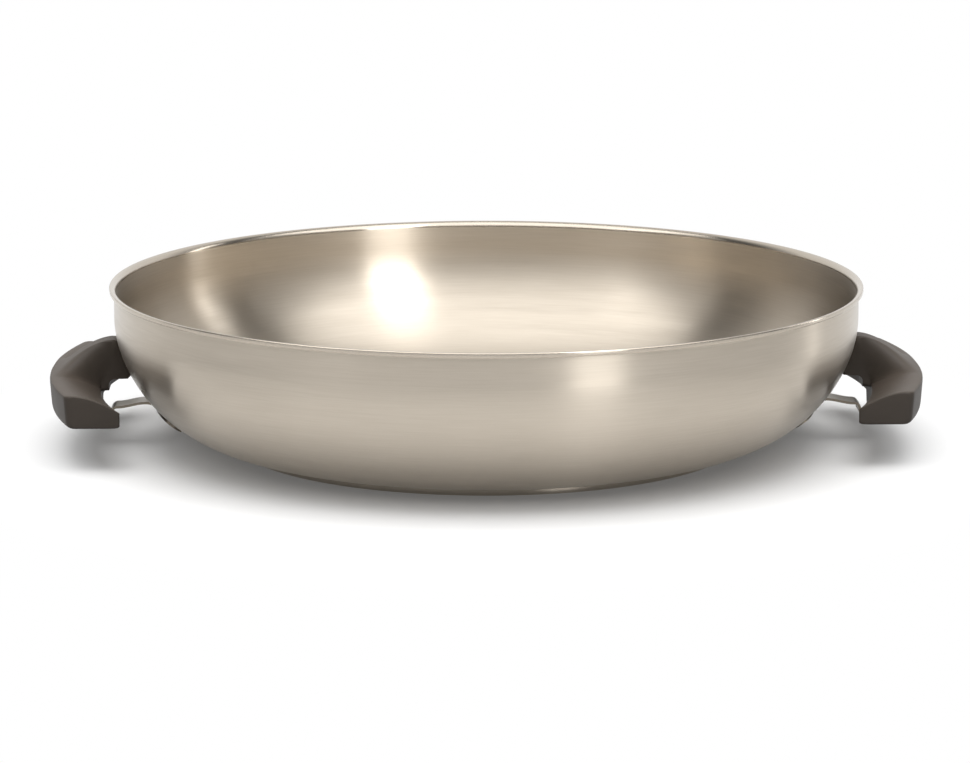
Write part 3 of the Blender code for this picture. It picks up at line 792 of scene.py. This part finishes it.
def sheet_layer(bm, path, widths, shift, columns):
    """Rows of points across one face of the bent sheet."""
    rows = []
    for i, width in enumerate(widths):
        before, following = path[max(i - 1, 0)], path[min(i + 1, len(path) - 1)]
        dr, dz = following[0] - before[0], following[1] - before[1]
        length = math.hypot(dr, dz)
        at = (path[i][0] - dz / length * shift, path[i][1] + dr / length * shift)
        across = [blend(-width, width, k / columns) for k in range(columns + 1)]
        rows.append([bm.verts.new(round_the_bowl(at[0], y, at[1])) for y in across])
    return rows


def bracket_mesh(columns=16):
    """Closed bent sheet."""
    path, widths = bracket_rows()
    bm = bmesh.new()
    half = BRACKET_SHEET / 2
    low, high = [sheet_layer(bm, path, widths, shift, columns) for shift in (-half, half)]
    for rows in (low, high):
        for row, following in zip(rows, rows[1:]):
            for k in range(columns):
                bm.faces.new((row[k], row[k + 1], following[k + 1], following[k]))
    for k in (0, columns):
        for i in range(len(path) - 1):
            bm.faces.new((low[i][k], low[i + 1][k], high[i + 1][k], high[i][k]))
    for i in (0, len(path) - 1):
        for k in range(columns):
            bm.faces.new((low[i][k], low[i][k + 1], high[i][k + 1], high[i][k]))
    return finish_mesh("bracket", bm)


print("rows along the bracket", len(bracket_rows()[0]))

# %% Bracket pieces
THREAD_RADIUS = 0.0020
BROKEN_EDGE = 0.0002         # width of the bevel along the sheet's edges


def screw_hole():
    """Hole for the screw in the strap."""
    radius, low, high = THREAD_RADIUS + FIT, STRAP_LOW - CUT_PAST, STRAP_TOP + CUT_PAST
    outline = [(0, low), (radius, low), (radius, high), (0, high)]
    return turned("screw_hole", outline, SMALL_STEPS, SCREW_AXIS)


strip = cut_out(bracket_mesh(), [screw_hole()])
brackets = []
for side, turn in SIDES:
    bracket = add_piece(f"{side}_bent_bracket", strip, f"{side}_bracket", turn)
    bevel = bracket.modifiers.new("broken edges", "BEVEL")
    bevel.width = BROKEN_EDGE
    bevel.segments = 2
    bevel.limit_method = "ANGLE"
    bevel.angle_limit = math.radians(50)
    brackets.append(bracket)

# %% [markdown]
# ## The screws
#
# A pan-head screw goes up through each strap. It is turned like the bowl, and a cross is then cut
# into its head. It can be seen only from below, but a driver has to fit it.

# %% Screws
HEAD_RADIUS = 0.0039
HEAD_HEIGHT = 0.0024
HEAD_SIDE = 0.6 * HEAD_HEIGHT        # where the domed head turns into its upright side
WASHER_THICKNESS = 0.0009
SEAT = STRAP_LOW - 2 * FIT - WASHER_THICKNESS
SCREW_TIP = STRAP_TOP + FIT + 0.0075
TIP_CHAMFER = 0.0006
CROSS_REACH = 0.0021                 # half length of the cross in the head
CROSS_HALF_WIDTH = 0.00045
CROSS_STOP = 0.0006                  # metal left above the cross
CROSS_TAPER = 0.55                   # its size at the bottom compared with the top


def screw_outline():
    """Profile of the screw from the middle of its head to the tip."""
    low = SEAT - HEAD_HEIGHT
    shoulder = (HEAD_RADIUS, low + HEAD_SIDE)
    head = curve([(0, low), (HEAD_RADIUS, low), shoulder], 16)
    side = [shoulder, (HEAD_RADIUS, SEAT), (THREAD_RADIUS, SEAT)]
    tip = [(THREAD_RADIUS, SCREW_TIP - TIP_CHAMFER), (THREAD_RADIUS - TIP_CHAMFER, SCREW_TIP)]
    return head + side + tip + [(0, SCREW_TIP)]


def cross_blade(name, half_x, half_y):
    """One arm of the cross, which narrows as it goes in."""
    bm = bmesh.new()
    bmesh.ops.create_cube(bm, size=2.0)
    low, high = SEAT - HEAD_HEIGHT - CUT_PAST / 2, SEAT - CROSS_STOP
    for vertex in bm.verts:
        inside = vertex.co.z > 0
        taper = CROSS_TAPER if inside else 1.0
        vertex.co = (SCREW_AXIS + vertex.co.x * half_x * taper, vertex.co.y * half_y * taper,
                     high if inside else low)
    return finish_mesh(name, bm)


blades = [cross_blade("blade_x", CROSS_REACH, CROSS_HALF_WIDTH),
          cross_blade("blade_y", CROSS_HALF_WIDTH, CROSS_REACH)]
screw_mesh = cut_out(turned("screw", screw_outline(), SMALL_STEPS, SCREW_AXIS), blades)
screws = [add_piece(f"{side}_pan_head_screw", screw_mesh, f"{side}_handle_screw",
                    turn) for side, turn in SIDES]

# %% [markdown]
# ## Brushed stainless steel
#
# The bowl is stainless steel, brushed while it turned, so fine scratches run round it. They
# spread a reflection up and down the wall but not sideways, which is why the lamp shows as an
# upright band. The shader gets this from anisotropy, with its tangent running round the axis.
# The scratches themselves are noise that is stretched round the bowl and squeezed across. A
# drawing of them on a flat sheet would need unwrapping and would show its seam. The rolled lip is
# less brushed than the wall, so it is a little glossier.

# %% Brushing marks
SCRATCH_SPACING = 0.0007     # real ones are near 0.05 mm, too fine to show from two metres
SCRATCHES_ROUND = 7.0        # a scratch fades after some 25 mm on the wall
BAND_SPACING = 0.0060        # broad bands where the brush pressed harder
BANDS_ROUND = 2.0            # a band fades after some 90 mm


def round_and_up(tree, rounds, spacing):
    """Noise place that changes slowly round the axis and fast along the bowl's section."""
    place = add_node(tree, "ShaderNodeTexCoord").outputs["Object"]
    flat = add_node(tree, "ShaderNodeVectorMath", {0: place, 1: (1, 1, 0)}, operation="MULTIPLY")
    radius = add_node(tree, "ShaderNodeVectorMath", {0: flat.outputs[0]}, operation="LENGTH")
    outward = add_node(tree, "ShaderNodeVectorMath", {0: flat.outputs[0]}, operation="NORMALIZE")
    height = add_node(tree, "ShaderNodeSeparateXYZ", {0: place}).outputs["Z"]
    along = add_node(tree, "ShaderNodeMath", {0: radius.outputs["Value"], 1: height},
                     operation="ADD")
    steps = add_node(tree, "ShaderNodeMath", {0: along.outputs[0], 1: 1 / spacing},
                     operation="MULTIPLY")
    turn = add_node(tree, "ShaderNodeVectorMath", {0: outward.outputs[0], 1: (rounds, rounds, 0)},
                    operation="MULTIPLY")
    up = add_node(tree, "ShaderNodeCombineXYZ", {"Z": steps.outputs[0]})
    return add_node(tree, "ShaderNodeVectorMath", {0: turn.outputs[0], 1: up.outputs[0]},
                    operation="ADD").outputs[0]


print("scratches every", SCRATCH_SPACING * 1000, "mm")

# %% Brushed stainless steel
STEEL = "#C6BDB0"            # the warm grey of chrome-nickel steel
STEEL_STREAK = "#BAB0A2"
BRUSHED_ROUGHNESS = (0.28, 0.35)
GROOVE_DEPTH = 0.000008
LIP_GLOSS = 0.65             # the lip's roughness as a share of the wall's
LIP_GLOSS_FROM = 0.0008      # how far under the lip it begins, and where it is all there
LIP_GLOSS_AT = 0.0004


def lip_share(tree):
    """Share of the wall's roughness that a place has, which is less on the lip."""
    place = add_node(tree, "ShaderNodeTexCoord").outputs["Object"]
    height = add_node(tree, "ShaderNodeSeparateXYZ", {0: place}).outputs["Z"]
    lip_low = RIM_HEIGHT - LIP_HEIGHT
    share = add_node(tree, "ShaderNodeMapRange",
                     {"Value": height, "From Min": lip_low - LIP_GLOSS_FROM,
                      "From Max": lip_low - LIP_GLOSS_AT, "To Min": 1.0, "To Max": LIP_GLOSS})
    return share.outputs["Result"]


def brushed_roughness(tree, scratches):
    """Roughness that varies with the scratches and in broad bands round the bowl."""
    bands = add_node(tree, "ShaderNodeTexNoise",
                     {"Vector": round_and_up(tree, BANDS_ROUND, BAND_SPACING),
                      "Scale": 1.0, "Detail": 1.0})
    mixed = add_node(tree, "ShaderNodeMath", {0: scratches, 1: bands.outputs[0]},
                     operation="MULTIPLY")
    rough = add_node(tree, "ShaderNodeMapRange",
                     {"Value": mixed.outputs[0], "From Min": 0.1, "From Max": 0.45,
                      "To Min": BRUSHED_ROUGHNESS[0], "To Max": BRUSHED_ROUGHNESS[1]})
    return add_node(tree, "ShaderNodeMath", {0: rough.outputs["Result"], 1: lip_share(tree)},
                    operation="MULTIPLY").outputs[0]


def brushed_stainless_steel():
    """Steel of the bowl and the dish under it: a warm metal with a satin, streaked shine."""
    material, tree = new_material("brushed_stainless_steel")
    scratches = add_node(tree, "ShaderNodeTexNoise",
                         {"Vector": round_and_up(tree, SCRATCHES_ROUND, SCRATCH_SPACING),
                          "Scale": 1.0, "Detail": 2.0, "Roughness": 0.6}).outputs[0]
    colour = add_node(tree, "ShaderNodeMix", {"Factor": scratches, "A": linear(STEEL),
                                              "B": linear(STEEL_STREAK)}, data_type="RGBA")
    grooves = add_node(tree, "ShaderNodeBump", {"Height": scratches, "Strength": 1.0,
                                                "Distance": GROOVE_DEPTH})
    round_axis = add_node(tree, "ShaderNodeTangent", direction_type="RADIAL", axis="Z")
    steel = add_node(tree, "ShaderNodeBsdfPrincipled",
                     {"Base Color": colour.outputs["Result"], "Metallic": 1.0,
                      "Roughness": brushed_roughness(tree, scratches), "Anisotropic": 0.95,
                      "Anisotropic Rotation": 0.25, "Normal": grooves.outputs[0],
                      "Tangent": round_axis.outputs[0]})
    add_node(tree, "ShaderNodeOutputMaterial", {"Surface": steel.outputs[0]})
    return material


# %% [markdown]
# ## Moulded phenolic
#
# The handles are phenolic, a hard black plastic that stands the heat. It leaves the mould satin,
# with a faint grain, so the light on it is broad and soft and has no sharp highlight. One flat
# dark colour with a gloss would look wet. So a slow noise varies tone and roughness a little, and
# a fine one roughens the surface. Black plastic is never quite black: it is a dark, warm grey.

# %% Moulded phenolic
PHENOLIC = "#39332D"
PHENOLIC_PALE = "#423B35"
CLOUDS_PER_METRE = 60.0      # patches of tone some 17 mm wide
GRAINS_PER_METRE = 1600.0    # every 0.6 mm. Real ones are near 0.1 mm, too fine to show
GRAIN_DEPTH = 0.00006
SATIN_ROUGHNESS = (0.46, 0.58)


def moulded_phenolic():
    """Black plastic of the handles."""
    material, tree = new_material("moulded_phenolic")
    place = add_node(tree, "ShaderNodeTexCoord").outputs["Object"]
    grain = add_node(tree, "ShaderNodeTexNoise", {"Vector": place, "Scale": GRAINS_PER_METRE,
                                                  "Detail": 2.0})
    cloud = add_node(tree, "ShaderNodeTexNoise", {"Vector": place, "Scale": CLOUDS_PER_METRE,
                                                  "Detail": 3.0})
    colour = add_node(tree, "ShaderNodeMix", {"Factor": cloud.outputs[0], "A": linear(PHENOLIC),
                                              "B": linear(PHENOLIC_PALE)}, data_type="RGBA")
    rough = add_node(tree, "ShaderNodeMapRange",
                     {"Value": cloud.outputs[0], "To Min": SATIN_ROUGHNESS[0],
                      "To Max": SATIN_ROUGHNESS[1]})
    pores = add_node(tree, "ShaderNodeBump", {"Height": grain.outputs[0], "Strength": 0.5,
                                              "Distance": GRAIN_DEPTH})
    plastic = add_node(tree, "ShaderNodeBsdfPrincipled",
                       {"Base Color": colour.outputs["Result"], "Roughness": rough.outputs[0],
                        "IOR": 1.5, "Specular IOR Level": 0.25, "Normal": pores.outputs[0]})
    add_node(tree, "ShaderNodeOutputMaterial", {"Surface": plastic.outputs[0]})
    return material


print("grain every", round(1000 / GRAINS_PER_METRE, 2), "mm")

# %% [markdown]
# ## The small metal pieces
#
# Sheet that is rolled, and rod that is turned, keep fine parallel marks, which soften what they
# mirror. The same shader fits all four metals here, with another colour and roughness for each:
# only the noise of its marks is stretched. The sheet of the brackets and screws is given a grey
# much darker than the bowl's steel, which is painted shade for the shadow under the bowl. The
# washers, the inserts and the plate in the base have their right shape in the CAD model already,
# so they get a finish and nothing else.

# %% Rolled and turned metal
MARKS_PER_METRE = (450.0, 4500.0, 4500.0)    # 2.2 mm long, 0.2 mm apart. Real ones are finer
MARK_DEPTH = 0.000006
ROUGHNESS_SPREAD = 0.06
METALS = {
    # the sheet's dull warm grey is darkened well below the bowl's steel: painted shade for the
    # shadow under the bowl
    "stainless_sheet_painted_shade": ("#827A6E", "#746C61", 0.32),    # dull warm grey
    "spring_steel": ("#B5B1AA", "#A49F98", 0.34),              # hard wire, a colder grey
    "rolled_aluminium": ("#D2D3D5", "#C4C5C8", 0.35),          # pale, a little blue
    "turned_brass": ("#D0AE6A", "#B9975A", 0.30),              # yellow, with the tool's marks
}


def rolled_metal(name):
    """Metal with fine marks along X."""
    pale, dark, roughness = METALS[name]
    material, tree = new_material(name)
    place = add_node(tree, "ShaderNodeTexCoord").outputs["Object"]
    along = add_node(tree, "ShaderNodeVectorMath", {0: place, 1: MARKS_PER_METRE},
                     operation="MULTIPLY")
    marks = add_node(tree, "ShaderNodeTexNoise", {"Vector": along.outputs[0], "Scale": 1.0,
                                                  "Detail": 2.0}).outputs[0]
    tone = add_node(tree, "ShaderNodeMix", {"Factor": marks, "A": linear(pale),
                                            "B": linear(dark)}, data_type="RGBA")
    rough = add_node(tree, "ShaderNodeMapRange",
                     {"Value": marks, "To Min": roughness - ROUGHNESS_SPREAD,
                      "To Max": roughness + ROUGHNESS_SPREAD})
    relief = add_node(tree, "ShaderNodeBump", {"Height": marks, "Strength": 0.6,
                                               "Distance": MARK_DEPTH})
    metal = add_node(tree, "ShaderNodeBsdfPrincipled",
                     {"Base Color": tone.outputs["Result"], "Metallic": 1.0,
                      "Roughness": rough.outputs[0], "Normal": relief.outputs[0]})
    add_node(tree, "ShaderNodeOutputMaterial", {"Surface": metal.outputs[0]})
    return material


print("metals with marks", len(METALS))

# %% Give each piece its finish
def finish(pieces, material):
    """One material for these pieces."""
    for piece in pieces:
        if not piece.material_slots:
            piece.data.materials.append(material)
        for slot in piece.material_slots:
            slot.material = material
    print(material.name, "on", len(pieces), "pieces")


def solids(*names):
    """CAD objects by name."""
    return [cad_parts[name] for name in names]


finish([bowl, dish], brushed_stainless_steel())
finish(handles, moulded_phenolic())
# brackets and screws get the darkened sheet grey, which is painted shade for their place under the
# bowl
finish(brackets + screws, rolled_metal("stainless_sheet_painted_shade"))
finish(solids("right_lock_washer", "left_lock_washer"), rolled_metal("spring_steel"))
finish(solids("base_core"), rolled_metal("rolled_aluminium"))
finish(solids("right_thread_insert", "left_thread_insert"), rolled_metal("turned_brass"))
